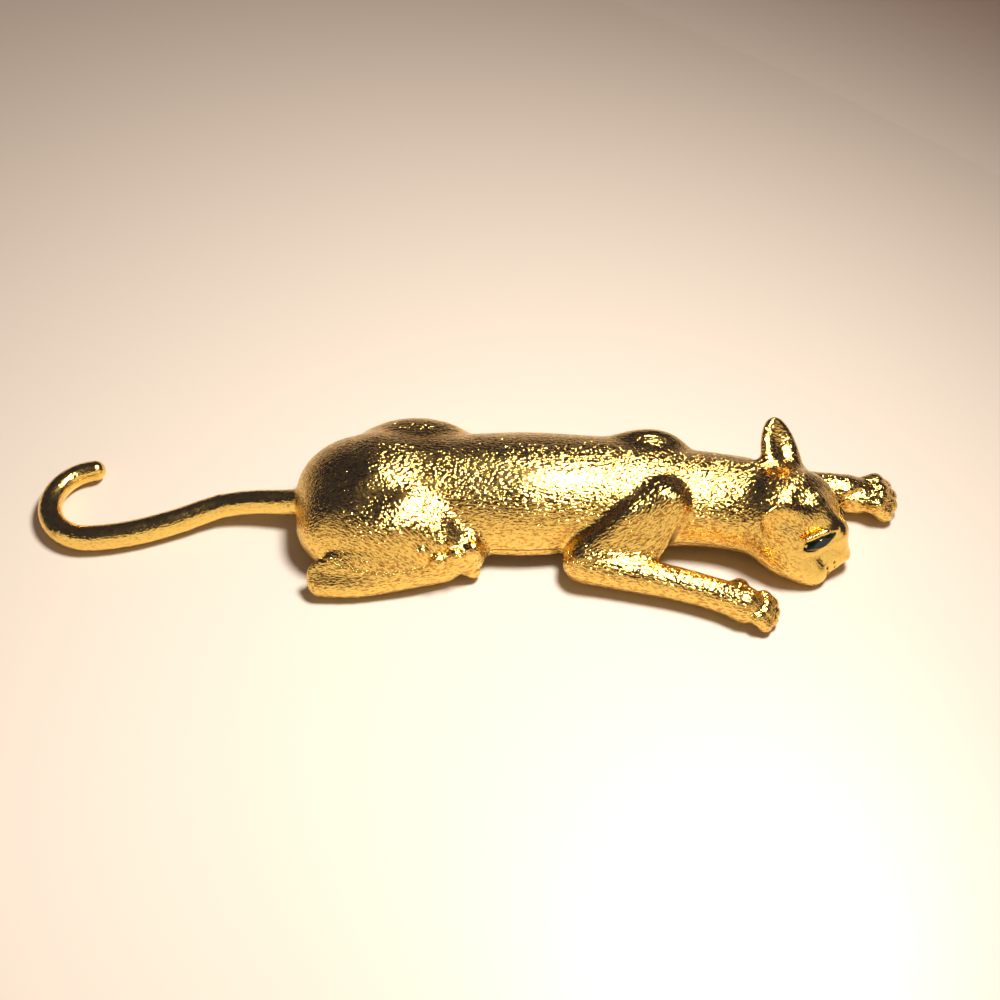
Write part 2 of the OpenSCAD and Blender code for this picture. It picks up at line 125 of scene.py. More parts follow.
# The toes' places to the side, and a toe's joints: reach, share of the curve that sets the outer
# toes back, way to the side, height and radius
TOES = (-1.5, -0.5, 0.5, 1.5)
TOE = [(-0.4, 0.0, 0.85, 2.1, 0.8), (2.0, 1.0, 1.12, 2.3, 0.98), (3.1, 1.0, 1.2, 1.3, 1.0)]
TOE_CURVE = 0.25
# Knobs on the near legs: middles and half sizes
DEWCLAW = ((34.6, -14.8, 2.9), (1.3, 1.2, 1.3))
HIND_KNOBS = [
    (-5.0, -11.0, 5.4),
    (-3.0, -11.9, 4.6),
    (-2.7, -10.3, 6.0),
    (-0.8, -11.3, 4.9),
    (1.1, -10.4, 4.9),
]
HIND_KNOB_HALF = (1.3, 1.1, 1.2)

# The tail's first stretch as rows of x, y, z and radius
TAIL_ROOT = [
    (-19.0, -1.1, 4.0, 2.1),
    (-22.0, -1.1, 3.2, 1.75),
    (-26.7, -0.7, 2.8, 1.62),
    (-31.8, -1.0, 2.3, 1.6),
    (-36.6, -2.9, 1.9, 1.65),
    (-41.4, -4.6, 1.7, 1.7),
    (-45.2, -5.5, 1.65, 1.7),
]
# Its curl: middle, radius, first angle and sweep in degrees, steps, height, thickness and taper
CURL_MIDDLE = (-48.6, 0.0)
CURL_R = 5.85
CURL_START = -82.0
CURL_SWEEP = 179.0
CURL_STEPS = 12
CURL_UP = 1.6
CURL_THICK = 1.7
CURL_TAPER = 0.03

# The head's middle and its turn, bow and roll in degrees
HEAD_AT = np.array([42.5, -5.2, 5.6])
HEAD_TURN = (30.0, 22.0, -3.0)
# What follows lies on the head's own axes: forward, to the far side and up from its middle.
SKULL = ((-0.2, 0.0, 0.2), (6.0, 6.3, 4.8))
# The forehead's slope and its height over the head's middle
FOREHEAD = np.array([0.36, -0.12, 0.925])
FOREHEAD_RISE = 3.6
# The nose's bridge as spots with radii
BRIDGE = [(1.0, 0, 2.2, 2.6), (4.8, 0, 1.3, 2.1), (6.6, 0, -0.9, 1.6)]
# Cheeks, jowls, muzzle, snout, lips, nose and chin: middle, half sizes and blend
FACE_FORMS = [
    ((1.0, 3.7, -1.7), (4.0, 2.8, 3.1), 1.5),
    ((1.2, -4.4, -2.1), (4.4, 3.0, 3.1), 1.5),
    ((4.9, -3.6, -2.5), (2.9, 2.6, 2.5), 1.3),
    ((4.9, 3.6, -2.5), (2.9, 2.6, 2.5), 1.3),
    ((5.2, -0.4, -1.8), (2.5, 3.0, 2.3), 1.2),
    ((5.9, -0.7, -0.9), (2.5, 2.5, 2.4), 1.0),
    ((6.1, -1.9, -1.7), (1.7, 1.6, 1.6), 0.7),
    ((6.1, 1.3, -1.7), (1.7, 1.6, 1.6), 0.7),
    ((7.8, -0.3, -0.3), (0.95, 1.2, 0.75), 0.35),
    ((5.0, -0.6, -3.6), (2.3, 2.4, 1.6), 0.5),
]
# The near eye stone: its middle, its length's direction and its face's, its half sizes, its
# pocket's depth and gap, and the reach of the box round the pocket
EYE_AT = np.array([3.95, -3.43, 2.48])
EYE_ALONG = np.array([0.44, 0.815, 0.377])
EYE_FACE = np.array([0.514, -0.572, 0.636])
EYE_HALF = (2.3, 0.9)
EYE_DEPTH = 0.85
POCKET_GAP = 0.14
POCKET_REACH = 2.6
# The far eye sits lower round the head, by this many degrees
FAR_EYE_DROP = 24.0
# The hollow round an eye: its distance out of the stone's face and its half sizes
EYE_HOLLOW_OUT = 0.9
EYE_HOLLOW_HALF = (2.7, 1.3, 0.95)
# The near eye's upper lid as spots with radii, from the nose outward. The far eye's lid leaves
# out this many of them.
LID = [(4.7, -1.0, 3.4, 0.35), (3.6, -2.8, 3.75, 0.4), (2.2, -5.0, 3.0, 0.35)]
FAR_LID_LESS = 1
# The nose's middle line lies this far to a side. A nostril is a spot with half sizes.
NOSE_SIDE = -0.3
NOSTRIL = (8.6, 0.55, -0.6)
NOSTRIL_HALF = (0.4, 0.28, 0.26)
# Lines under the nose and from there along the mouth to either side, as spots with radii
UNDER_NOSE = [(8.5, NOSE_SIDE, -1.1, 0.2), (8.0, NOSE_SIDE, -2.4, 0.24)]
MOUTH_START = (7.9, NOSE_SIDE, -2.4, 0.3)
MOUTH = [(7.1, 2.0, -3.0, 0.34), (5.0, 4.4, -3.3, 0.36), (3.0, 5.6, -2.7, 0.2)]
# Whisker pits to either side, the radius of each, and its way: forward, outward as a share, and up
WHISKER_PITS = [(6.9, 2.2, -0.2), (7.3, 2.0, -1.0), (6.5, 2.8, -1.0), (6.9, 2.7, -1.8), (6.2, 3.3, -1.9)]
PIT_R = 0.2
PIT_WAY = (0.8, 1.35, 0.5)

# Ears on the cat's axes: base, tip, the direction that the cup faces, half width and blend
EARS = [
    ((41.1, 1.2, 8.2), (40.0, 6.2, 11.7), (0.25, -0.35, 0.9), 2.85, 1.2),
    ((41.4, -8.7, 7.8), (37.2, -9.2, 11.0), (0.1, -0.85, 0.35), 2.6, 0.7),
]
# An ear's form in shares of its length: its root under the base, its widest place and the run
# from there to the tip. Then how square its edge is, its least width, taper, rounding and
# thickness, and the share of the thickness that is gone at the tip.
EAR_ROOT = -0.4
EAR_WIDEST = -0.05
EAR_RUN = 1.05
EAR_SQUARE = 2.6
EAR_LEAST = 0.02
EAR_NARROWS = 0.15
EAR_ROUND = 0.5
EAR_THICK = 1.25
EAR_THINS = 0.5
# Its cup: middle and half length as shares of the length, way out, depth, share of the width
CUP_AT = 0.45
CUP_HALF = 0.5
CUP_OUT = 2.0
CUP_DEPTH = 1.6
CUP_WIDTH = 0.66
CUP_SLOPE = 1.4

# The hollow's ends, and the ribs that carry the pin back: places along x, thickness, lower edge
HOLLOW_ENDS = (-14.0, 32.1)
HOLLOW_ROUND = 2.0
RIBS = (-8.22, 15.78)
RIB_T = 2.2
RIB_LOW = 3.77
RIB_HIGH = 11

# Lines that the thighs' fur follows, as rows of x, y, z
NEAR_THIGH_FUR = [(-18.0, -2.0, 8.0), (-12.0, -5.0, 9.0), (-6.5, -8.0, 7.0), (-2.5, -10.0, 3.0)]
FAR_THIGH_FUR = [(-16.0, 3.0, 8.5), (-9.0, 6.5, 8.5), (-3.0, 8.0, 6.0), (0.0, 9.0, 2.0)]
# Steps for each row of a line that fur follows
LINE_STEPS = 16
# Shifts that keep the strokes on one limb, thigh or head unlike the next one's
LIMB_APART = 40
THIGHS_APART = (220, 260)
HEAD_APART = (300, 0, 0)
# The head's fur covers this oval, as middle and half sizes
HEAD_FUR = ((0.5, 0, 0), (7.2, 6.6, 4.9))
# Half the width over which a limb's fur passes into the body's
FUR_BLEND = 0.8
# The barrel as its fur follows it: its axis over the table, its radius and its ends
BARREL_UP = 3.2
BARREL_R = 7.5
BARREL_FUR_ENDS = (-22.0, 44.0)
# The face's middle and half sizes on the head's axes, where this share of the fur's depth is gone
FACE_MIDDLE = (5.0, -1.0, 0.0)
FACE_HALF = (6.2, 6.4, 5.6)
FACE_EDGE = (0.7, 1.1)
SMOOTH_FACE = 0.72
# Places that are worn smooth: middle, half sizes and share of the fur's depth that is gone
WORN = [((11.0, -2.9, 9.7), (8.5, 2.4, 3.0), 0.6), ((24.0, 4.9, 9.6), (6.0, 3.0, 3.0), 0.4)]
WORN_EDGE = (0.4, 1.1)
# The fur's depth on the tail as a share, and where along x it fades to that
TAIL_FUR = 0.4
TAIL_FADE = (-25.0, -20.0)

GOLD = (0.97, 0.65, 0.16)
# Painted shade: a darker, browner gold laid into the low grounds of the engraved strokes
GROOVE_SHADE_GOLD = (0.60, 0.30, 0.07)
GOLD_ROUGHNESS = (0.12, 0.20)
# Stretch along the fur, scale, detail and distortion of its strokes, and their depth in mm
FUR_STROKES = (2.3, 3.8, 1.5, 0.4)
FUR_DEPTH = 0.16
# Heights between which the painted shade in the strokes' grounds fades into the bright gold, and the height
# that stands for no stroke
GROOVE_SHADE_HEIGHTS = (0.36, 0.50)
NO_STROKE = 0.5
# Stretch, scale, detail and distortion of the wear, and the range of it that counts
WEAR_SPOTS = (1.0, 0.35, 3.0, 0.0)
WEAR_RANGE = (0.35, 0.65)
# Detail and counted range of the noise on the stones and the pin
PLAIN_DETAIL = 3.0
PLAIN_RANGE = (0.3, 0.7)

# The room as the gold mirrors it, and how far across and up its bright wall reaches
DARK_ROOM = (0.032, 0.034, 0.085)
WALL_LIGHT = (0.95, 0.83, 0.70)
FILL_LIGHT = (0.24, 0.13, 0.075)
BACKDROP = (0.60, 0.54, 0.47)
WALL_EDGE = (-0.20, -0.45)
WALL_TOP = (0.68, 0.58)
# The table's side in metres, colour and roughness
TABLE_SIDE = 3.0
TABLE = (0.60, 0.585, 0.565)
TABLE_ROUGHNESS = 0.4
# The lamp: place, aim and size in metres, watts, spread in degrees and colour
LAMP_AT = (0.065, 0.021, 0.20)
LAMP_AIM = (-0.048, -0.060, 0.0)
LAMP_SIZE = 0.062
LAMP_POWER = 0.435
LAMP_SPREAD = 121
LAMP_COLOUR = (1.0, 0.885, 0.75)

# The picture's middle on the table, and the camera's distance and angle up from there
PICTURE_MIDDLE = np.array([4.73, 2.0, 0.0])
CAMERA_DISTANCE = 210
CAMERA_UP = 50
# A picture 1000 px wide shows the table at this scale
PX_PER_MM = 7.5
PICTURE_PX = 1000
SENSOR = 36.0


def smin(a, b, k):
    """The nearer of two distances, blended over k."""
    h = np.clip(0.5 + 0.5 * (b - a) / k, 0, 1)
    return b + (a - b) * h - k * h * (1 - h)


def smax(a, b, k):
    """The farther of two distances, blended over k."""
    return -smin(-a, -b, k)


def axes_of(turn, bow, roll):
    """Rows: forward, to the far side, up."""
    y, p, r = np.radians([turn, bow, roll])
    forward = np.array([math.cos(p) * math.cos(y), -math.cos(p) * math.sin(y), -math.sin(p)])
    side = np.array([math.sin(y), math.cos(y), 0.0])
    up = np.cross(forward, side)
    return np.array([forward, math.cos(r) * side + math.sin(r) * up, math.cos(r) * up - math.sin(r) * side])


def leaning(turn, tilt):
    """Rows: forward, out of a face that looks to the near side, up along that face."""
    a, b = math.radians(turn), math.radians(tilt)
    forward, side = np.array([math.cos(a), math.sin(a), 0]), np.array([math.sin(a), -math.cos(a), 0])
    face = math.sin(b) * side + np.array([0, 0, math.cos(b)])
    return np.array([forward, face, np.cross(forward, face)])


def unit(v):
    return v / np.linalg.norm(v)


def on_curve(x, rows, col):
    """One column of a table at x, on a smooth curve through its rows."""
    t = np.array([r[0] for r in rows], float)
    v = np.array([r[col] for r in rows], float)
    m = np.gradient(v, t)
    i = np.clip(np.searchsorted(t, x) - 1, 0, len(t) - 2)
    h = t[i + 1] - t[i]
    s = np.clip((x - t[i]) / h, 0, 1)
    a = (2 * s**3 - 3 * s**2 + 1) * v[i] + (s**3 - 2 * s**2 + s) * h * m[i]
    return a + (3 * s**2 - 2 * s**3) * v[i + 1] + (s**3 - s**2) * h * m[i + 1]


def smooth_rows(rows, per=3):
    """Rows of x, y, z and radius, with more of them on a smooth curve in between."""
    t = np.arange(len(rows))
    fine = np.linspace(0, len(rows) - 1, per * (len(rows) - 1) + 1)
    numbered = [(k, *row) for k, row in zip(t, rows)]
    return np.stack([on_curve(fine, numbered, c) for c in (1, 2, 3, 4)], 1)


def smooth_step(x, start, end):
    t = np.clip((x - start) / (end - start), 0, 1)
    return t * t * (3 - 2 * t)


class Shape:
    """A distance function with the box that it fills."""

    def __init__(self, distance, low, high):
        self.distance, self.low, self.high = distance, np.array(low, float), np.array(high, float)


def oval_distance(q, r):
    """Distance to an oval with half sizes r round zero, true near its skin."""
    k0 = np.linalg.norm(q / r, axis=-1)
    k1 = np.linalg.norm(q / (r * r), axis=-1)
    return k0 * (k0 - 1) / np.maximum(k1, TINY)


def ellipsoid(c, r, axes=None):
    c, r = np.array(c, np.float32), np.array(r, np.float32)

    def distance(P):
        q = P - c
        if axes is not None:
            q = q @ axes.T.astype(np.float32)
        return oval_distance(q, r)

    return Shape(distance, c - r.max(), c + r.max())


def arch(c, r):
    """An upright oval's upper half, carried straight down to the table."""
    c, r = np.array(c, np.float32), np.array(r, np.float32)

    def distance(P):
        q = P - c
        q[..., 2] = np.maximum(q[..., 2], 0)
        return oval_distance(q, r)

    return Shape(distance, (c[0] - r[0], c[1] - r[1], -1), c + r)


def chain(rows, blend=1.0):
    """Round cones through rows of x, y, z and radius."""
    rows = [np.array(r, np.float32) for r in rows]

    def cone(P, a, b):
        along = b[:3] - a[:3]
        t = np.clip(((P - a[:3]) @ along) / (along @ along), 0, 1)
        return np.linalg.norm(P - a[:3] - t[..., None] * along, axis=-1) - (a[3] + (b[3] - a[3]) * t)

    def distance(P):
        d = cone(P, rows[0], rows[1])
        for a, b in zip(rows[1:-1], rows[2:]):
            d = smin(d, cone(P, a, b), blend)
        return d

    ends = np.array([r[:3] for r in rows])
    reach = max(r[3] for r in rows)
    return Shape(distance, ends.min(0) - reach, ends.max(0) + reach)


def barrel(inset=0.0, ends=TORSO_ENDS, round_off=3.0, open_below=False):
    """The torso's oval tube, or a hollow of the same form with straight sides down to the table."""

    def distance(P):
        x = P[..., 0]
        mid_y, mid_z, a, b = [on_curve(x, TORSO, col).astype(np.float32) for col in (1, 2, 3, 4)]
        a, b = a - inset, b - inset
        qy, qz = P[..., 1] - mid_y, P[..., 2] - mid_z
        if open_below:
            qz = np.maximum(qz, 0)
        k0 = np.sqrt((qy / a) ** 2 + (qz / b) ** 2)
        k1 = np.sqrt((qy / a**2) ** 2 + (qz / b**2) ** 2)
        d = k0 * (k0 - 1) / np.maximum(k1, TINY)
        return smax(smax(d, ends[0] - x, round_off), x - ends[1], round_off)

    return Shape(distance, (ends[0], -BARREL_SIDE, BARREL_LOW), (ends[1], BARREL_SIDE, BARREL_HIGH))


def flattened(shape, face, out, blend=1.0):
    """A shape cut flat by a plane that looks along face and lies so far out from zero."""

    def distance(P):
        return smax(shape.distance(P), P @ face.astype(np.float32) - out, blend)

    return Shape(distance, shape.low, shape.high)


class Field:
    """Distance to the cat's skin on a grid, joined shape by shape."""

    def __init__(self):
        n = np.ceil((GRID_HIGH - GRID_LOW) / STEP).astype(int) + 1
        self.axis = [GRID_LOW[i] + STEP * np.arange(n[i]) for i in range(3)]
        self.v = np.full(n, EMPTY, np.float32)

    def part(self, low, high):
        """The grid's stretch between two corners, and the places of its points."""
        s = []
        for i in range(3):
            a = int(np.searchsorted(self.axis[i], low[i]))
            b = int(np.searchsorted(self.axis[i], high[i]))
            s.append(slice(max(a, 0), max(b, 1)))
        grid = np.meshgrid(*[self.axis[i][s[i]] for i in range(3)], indexing="ij")
        return tuple(s), np.stack(grid, -1).astype(np.float32)

    def join(self, shape, blend, margin=2.5):
        """Adds a shape, blended into the rest."""
        s, P = self.part(shape.low - margin, shape.high + margin)
        self.v[s] = smin(self.v[s], shape.distance(P), blend)

    def cut(self, shape, blend, margin=1.5):
        """Takes a shape away, with its edges blended."""
        s, P = self.part(shape.low - margin, shape.high + margin)
        self.v[s] = smax(self.v[s], -shape.distance(P), blend)

    def keep_above(self, z, blend):
        """Takes away all that lies lower than z."""
        self.v = smax(self.v, (z - self.axis[2]).astype(np.float32)[None, None, :], blend)


HEAD = axes_of(*HEAD_TURN)


def head_spot(f, s, u):
    return HEAD_AT + f * HEAD[0] + s * HEAD[1] + u * HEAD[2]


def head_ball(middle, half):
    return ellipsoid(head_spot(*middle), half, HEAD)


def head_line(spots):
    return chain([(*head_spot(*spot[:3]), spot[3]) for spot in spots], blend=0.4)


def eye_side(v, side):
    """The near eye's spot or direction as it is, or carried over to the far eye."""
    if side < 0:
        return np.array(v)
    t = math.radians(FAR_EYE_DROP)
    f, s, u = v[0], -v[1], v[2]
    return np.array([f, s * math.cos(t) + u * math.sin(t), u * math.cos(t) - s * math.sin(t)])


def eye_axes(side):
    """Middle and axes of an eye stone: along it, across it and out of its face."""
    along, face = [unit(HEAD.T @ eye_side(v, side)) for v in (EYE_ALONG, EYE_FACE)]
    return head_spot(*eye_side(EYE_AT, side)), np.array([along, np.cross(face, along), face])


def eye_pocket(side):
    """The pointed oval that an eye stone sits in."""
    at, axes = eye_axes(side)
    a, b = EYE_HALF[0] + POCKET_GAP, EYE_HALF[1] + POCKET_GAP
    r = (a * a + b * b) / (2 * b)

    def distance(P):
        q = (P - at.astype(np.float32)) @ axes.T.astype(np.float32)
        oval = np.hypot(q[..., 0], np.abs(q[..., 1]) + r - b) - r
        return np.maximum(oval, -q[..., 2] - EYE_DEPTH)

    return Shape(distance, at - POCKET_REACH, at + POCKET_REACH)


def carve_eye(field, side):
    """The hollow round an eye and the lid over it."""
    at, axes = eye_axes(side)
    field.cut(ellipsoid(at + EYE_HOLLOW_OUT * axes[2], EYE_HOLLOW_HALF, axes), blend=0.5)
    lid = LID if side < 0 else LID[FAR_LID_LESS:]
    field.join(head_line([(*eye_side(row[:3], side), row[3]) for row in lid]), blend=0.5)


def carve_muzzle(field, side):
    """One side's nostril and mouth line."""
    forward, out, up = NOSTRIL
    field.cut(head_ball((forward, side * out + NOSE_SIDE, up), NOSTRIL_HALF), blend=0.12)
    mouth = [MOUTH_START] + [(f, side * s, u, r) for f, s, u, r in MOUTH]
    field.cut(head_line(mouth), blend=0.35)


def carve_whisker_pits(field, side):
    forward, outward, up = PIT_WAY
    for f, s, u in WHISKER_PITS:
        s = side * s
        pit = [(f, s, u, PIT_R), (f + forward, s * outward, u + up, PIT_R)]
        field.cut(head_line(pit), blend=0.1)


def join_head(field):
    brow = FOREHEAD @ HEAD
    skull = flattened(head_ball(*SKULL), brow, float(brow @ HEAD_AT) + FOREHEAD_RISE)
    field.join(skull, blend=2.0)
    field.join(head_line(BRIDGE), blend=1.5)
    for middle, half, blend in FACE_FORMS:
        field.join(head_ball(middle, half), blend)
    for side in (-1, 1):
        carve_eye(field, side)
        carve_muzzle(field, side)
        field.cut(eye_pocket(side), blend=0.05)
        carve_whisker_pits(field, side)
    field.cut(head_line(UNDER_NOSE), blend=0.25)


def ear(base, tip, face, width):
    """A flat rounded ear with a cup on the side that it faces."""
    base, tip, face = np.array(base), np.array(tip), np.array(face, float)
    axis = tip - base
    length = np.linalg.norm(axis)
    axis = axis / length
    face = face - face @ axis * axis
    face = face / np.linalg.norm(face)
    side = np.cross(axis, face)
    turn = np.array([axis, face, side], np.float32)

    def distance(P):
        q = (P - base.astype(np.float32)) @ turn.T
        t = np.clip(q[..., 0] / length, EAR_ROOT, 1)
        edge = 1 - (np.abs(t - EAR_WIDEST) / EAR_RUN) ** EAR_SQUARE
        w = width * np.sqrt(np.clip(edge, EAR_LEAST, 1)) * (1 - EAR_NARROWS * t)
        thick = EAR_THICK * (1 - EAR_THINS * t)
        k = np.sqrt((q[..., 2] / w) ** 2 + (q[..., 1] / thick) ** 2)
        d = smax((k - 1) * np.minimum(w, thick), q[..., 0] - length, EAR_ROUND)
        cup = ((q[..., 0] - length * CUP_AT) / (length * CUP_HALF)) ** 2
        cup = cup + ((q[..., 1] - CUP_OUT) / CUP_DEPTH) ** 2 + (q[..., 2] / (CUP_WIDTH * width)) ** 2
        return smax(d, (1 - np.sqrt(cup)) * CUP_SLOPE, EAR_ROUND)

    reach = np.array([width, width, width])
    return Shape(distance, np.minimum(base, tip) - reach, np.maximum(base, tip) + reach)


def join_paw(field, at, turn, size):
    """A paw with four round toes."""
    a = math.radians(turn)
    forward, side = np.array([math.cos(a), math.sin(a), 0]), np.array([-math.sin(a), math.cos(a), 0])

    def spot(f, s, z):
        p = np.array((*at, 0.0)) + size * (f * forward + s * side)
        return (p[0], p[1], z * size)

    middle, half = PAD
    axes = np.array([forward, side, [0, 0, 1]])
    field.join(ellipsoid(spot(*middle), np.array(half) * size, axes), blend=1.0)
    for k in TOES:
        back = TOE_CURVE * k**2
        toe = [(*spot(f - curved * back, s * k, z), r * size) for f, curved, s, z, r in TOE]
        field.join(chain(toe, blend=0.3), blend=0.12)


def tail_rows():
    """The whole tail as rows of x, y, z and radius."""
    rows = list(TAIL_ROOT)
    for j in range(CURL_STEPS):
        t = math.radians(CURL_START - CURL_SWEEP * j / (CURL_STEPS - 1))
        x, y = CURL_MIDDLE[0] + CURL_R * math.cos(t), CURL_MIDDLE[1] + CURL_R * math.sin(t)
        rows.append((x, y, CURL_UP, CURL_THICK - CURL_TAPER * j))
    return rows


def rib(x, inside):
    """A slab across the hollow at x."""

    def distance(P):
        slab = np.maximum(np.abs(P[..., 0] - x) - RIB_T / 2, RIB_LOW - P[..., 2])
        return np.maximum(slab, inside.distance(P))

    return Shape(distance, (x - RIB_T, -BARREL_SIDE, RIB_LOW), (x + RIB_T, BARREL_SIDE, RIB_HIGH))


def cut_hollow(field):
    """The open back, with the ribs that carry the pin back's bar."""
    field.cut(barrel(WALL, HOLLOW_ENDS, HOLLOW_ROUND, open_below=True), blend=0.3)
    field.cut(arch(RUMP[0], np.array(RUMP[1]) - WALL), blend=0.3)
    inside = barrel(WALL / 2, HOLLOW_ENDS, HOLLOW_ROUND, open_below=True)
    for x in RIBS:
        field.join(rib(x, inside), blend=0.2, margin=0.6)


def fill_bubbles(v):
    """Metal in place of air that is closed in."""
    air = v >= 0
    outside = np.zeros_like(air)
    outside[:, :, -1] = air[:, :, -1]
    reached = 0
    while outside.sum() > reached:
        reached = outside.sum()
        for ax in range(3):
            free, open_air = np.moveaxis(air, ax, 0), np.moveaxis(outside, ax, 0)
            for i in range(1, len(free)):
                open_air[i] |= open_air[i - 1] & free[i]
            for i in range(len(free) - 2, -1, -1):
                open_air[i] |= open_air[i + 1] & free[i]
    v[air & ~outside] = -STEP / 4


def join_body(field):
    """Barrel, haunches and shoulders, which end at the rim."""
    field.join(barrel(), blend=0.01, margin=1.0)
    swells = ((RUMP, 2.0), (FAR_THIGH, 1.2), (NEAR_THIGH, 1.5), (NEAR_HAUNCH, 1.5), (NEAR_SHANK, 1.2))
    for form, blend in swells:
        field.join(ellipsoid(*form), blend)
    middle, half, turn, tilt = HOCK
    field.join(ellipsoid(middle, half, leaning(turn, tilt)), blend=0.8)
    field.join(chain(KNEE), blend=1.5)
    field.join(ellipsoid(*FAR_BLADE), blend=1.5)
    field.join(flattened(chain(UPPER_ARM, blend=1.2), ARM_FACE, ARM_FLAT), blend=1.0)
    field.keep_above(RIM, blend=0.4)


def join_legs(field):
    for rows, blend in ((NEAR_FORELEG, 1.2), (FAR_FORELEG, 1.2), (NEAR_HIND, 1.0), (FAR_HIND, 1.0)):
        field.join(chain(smooth_rows(rows), blend=0.1), blend)
    join_paw(field, *NEAR_FOREPAW)
    field.join(ellipsoid(*DEWCLAW), blend=0.4)
    join_paw(field, *FAR_FOREPAW)
    join_paw(field, *NEAR_HIND_PAW)
    for knob in HIND_KNOBS:
        field.join(ellipsoid(knob, HIND_KNOB_HALF), blend=0.25)
    join_paw(field, *FAR_HIND_PAW)


def cat_field():
    field = Field()
    join_body(field)
    join_legs(field)
    join_head(field)
    for base, tip, face, width, blend in EARS:
        field.join(ear(base, tip, face, width), blend)
    field.join(chain(smooth_rows(tail_rows(), per=2), blend=0.05), blend=0.35)
    field.keep_above(0.0, blend=0.3)
    cut_hollow(field)
    fill_bubbles(field.v)
    return field


def surface_net(v, low, step):
    """Quads round every place where v changes sign."""
    n = v.shape
    total = np.zeros((n[0] - 1, n[1] - 1, n[2] - 1, 3), np.float32)
    count = np.zeros(total.shape[:3], np.int16)
    for ax in range(3):
        o1, o2 = [a for a in range(3) if a != ax]
        for i, j in ((0, 0), (1, 0), (0, 1), (1, 1)):
            s = [slice(0, -1)] * 3
            s[o1], s[o2] = slice(i, n[o1] - 1 + i), slice(j, n[o2] - 1 + j)
            e = list(s)
            e[ax] = slice(1, n[ax])
            a, b = v[tuple(s)], v[tuple(e)]
            cross = (a < 0) != (b < 0)
            total[..., ax] += np.where(cross, a / np.where(cross, a - b, 1), 0)
            total[..., o1] += np.where(cross, i, 0)
            total[..., o2] += np.where(cross, j, 0)
            count += cross
    cells = count > 0
    index = -np.ones(cells.shape, np.int64)
    spots = np.argwhere(cells)
    index[cells] = np.arange(len(spots))
    verts = (spots + total[cells] / count[cells][:, None]) * step + low
    inside = v < 0
    quads = []
    for ax in range(3):
        o1, o2 = [a for a in range(3) if a != ax]
        s = [slice(1, -1)] * 3
        s[ax] = slice(0, -1)
        e = list(s)
        e[ax] = slice(1, None)
        a, b = inside[tuple(s)], inside[tuple(e)]
        c = np.argwhere(a != b)
        base = c.copy()
        base[:, o1] += 1
        base[:, o2] += 1

        def at(d1, d2):
            q = base.copy()
            q[:, o1] -= d1
            q[:, o2] -= d2
            return index[tuple(q.T)]

        quad = np.stack([at(1, 1), at(0, 1), at(0, 0), at(1, 0)], 1)
        if ax == 1:
            quad = quad[:, ::-1]
        quads.append(np.where(a[tuple(c.T)][:, None], quad, quad[:, ::-1]))
    return verts, np.concatenate(quads)


def sampled(grid, P):
    """Values of a grid at spots, straight between its points."""
    q = (P - GRID_LOW) / STEP
    i = np.clip(np.floor(q).astype(int), 0, np.array(grid.shape[:3]) - 2)
    f = q - i
    out = 0
    for dx in (0, 1):
        for dy in (0, 1):
            for dz in (0, 1):
                w = (f[:, 0] if dx else 1 - f[:, 0]) * (f[:, 1] if dy else 1 - f[:, 1])
                w = w * (f[:, 2] if dz else 1 - f[:, 2])
                g = grid[i[:, 0] + dx, i[:, 1] + dy, i[:, 2] + dz]
                out = out + (w[:, None] * g if g.ndim > 1 else w * g)
    return out


def along_limb(rows, P):
    """Coordinates of spots on a limb: along its middle line, to its side, and up."""
    rows = np.array(rows, float)[:, :3]
    t = np.arange(len(rows))
    fine = np.linspace(0, len(rows) - 1, LINE_STEPS * len(rows))
    line = np.stack([on_curve(fine, np.column_stack([t, rows[:, c]]).tolist(), 1) for c in range(3)], 1)
    run = np.concatenate([[0], np.cumsum(np.linalg.norm(np.diff(line, axis=0), axis=1))])
    way = np.gradient(line, axis=0)
    way /= np.linalg.norm(way, axis=1, keepdims=True)
    side = np.cross([0, 0, 1.0], way)
    side /= np.linalg.norm(side, axis=1, keepdims=True)
    best = np.full(len(P), ENDLESS)
    nearest = np.zeros(len(P), int)
    for i, spot in enumerate(line):
        d = np.linalg.norm(P - spot, axis=1)
        closer = d < best
        best[closer] = d[closer]
        nearest[closer] = i
    off = P - line[nearest]
    ahead = (off * way[nearest]).sum(1)
    across = (off * side[nearest]).sum(1)
    up = (off * np.cross(way, side)[nearest]).sum(1)
    return np.stack([run[nearest] + ahead, across, up], 1)


def furred_limbs():
    """Each limb and thigh as the line that its fur follows, its distance apart and its shape."""
    limbs = (UPPER_ARM + NEAR_FORELEG, FAR_FORELEG, NEAR_HIND, FAR_HIND, tail_rows())
    furred = [(rows, LIMB_APART * i, chain(rows)) for i, rows in enumerate(limbs)]
    thighs = ((NEAR_THIGH_FUR, NEAR_THIGH), (FAR_THIGH_FUR, FAR_THIGH))
    return furred + [(rows, apart, ellipsoid(*form)) for apart, (rows, form) in zip(THIGHS_APART, thighs)]


def fur_depth(P):
    """The share of the fur's depth at each spot."""
    face = (P - head_spot(*FACE_MIDDLE)) @ HEAD.T / FACE_HALF
    fur = 1 - SMOOTH_FACE * (1 - smooth_step(np.linalg.norm(face, axis=1), *FACE_EDGE))
    for middle, half, worn in WORN:
        off = np.linalg.norm((P - middle) / half, axis=1)
        fur = fur * (1 - worn * (1 - smooth_step(off, *WORN_EDGE)))
    return fur * (TAIL_FUR + (1 - TAIL_FUR) * smooth_step(P[:, 0], *TAIL_FADE))


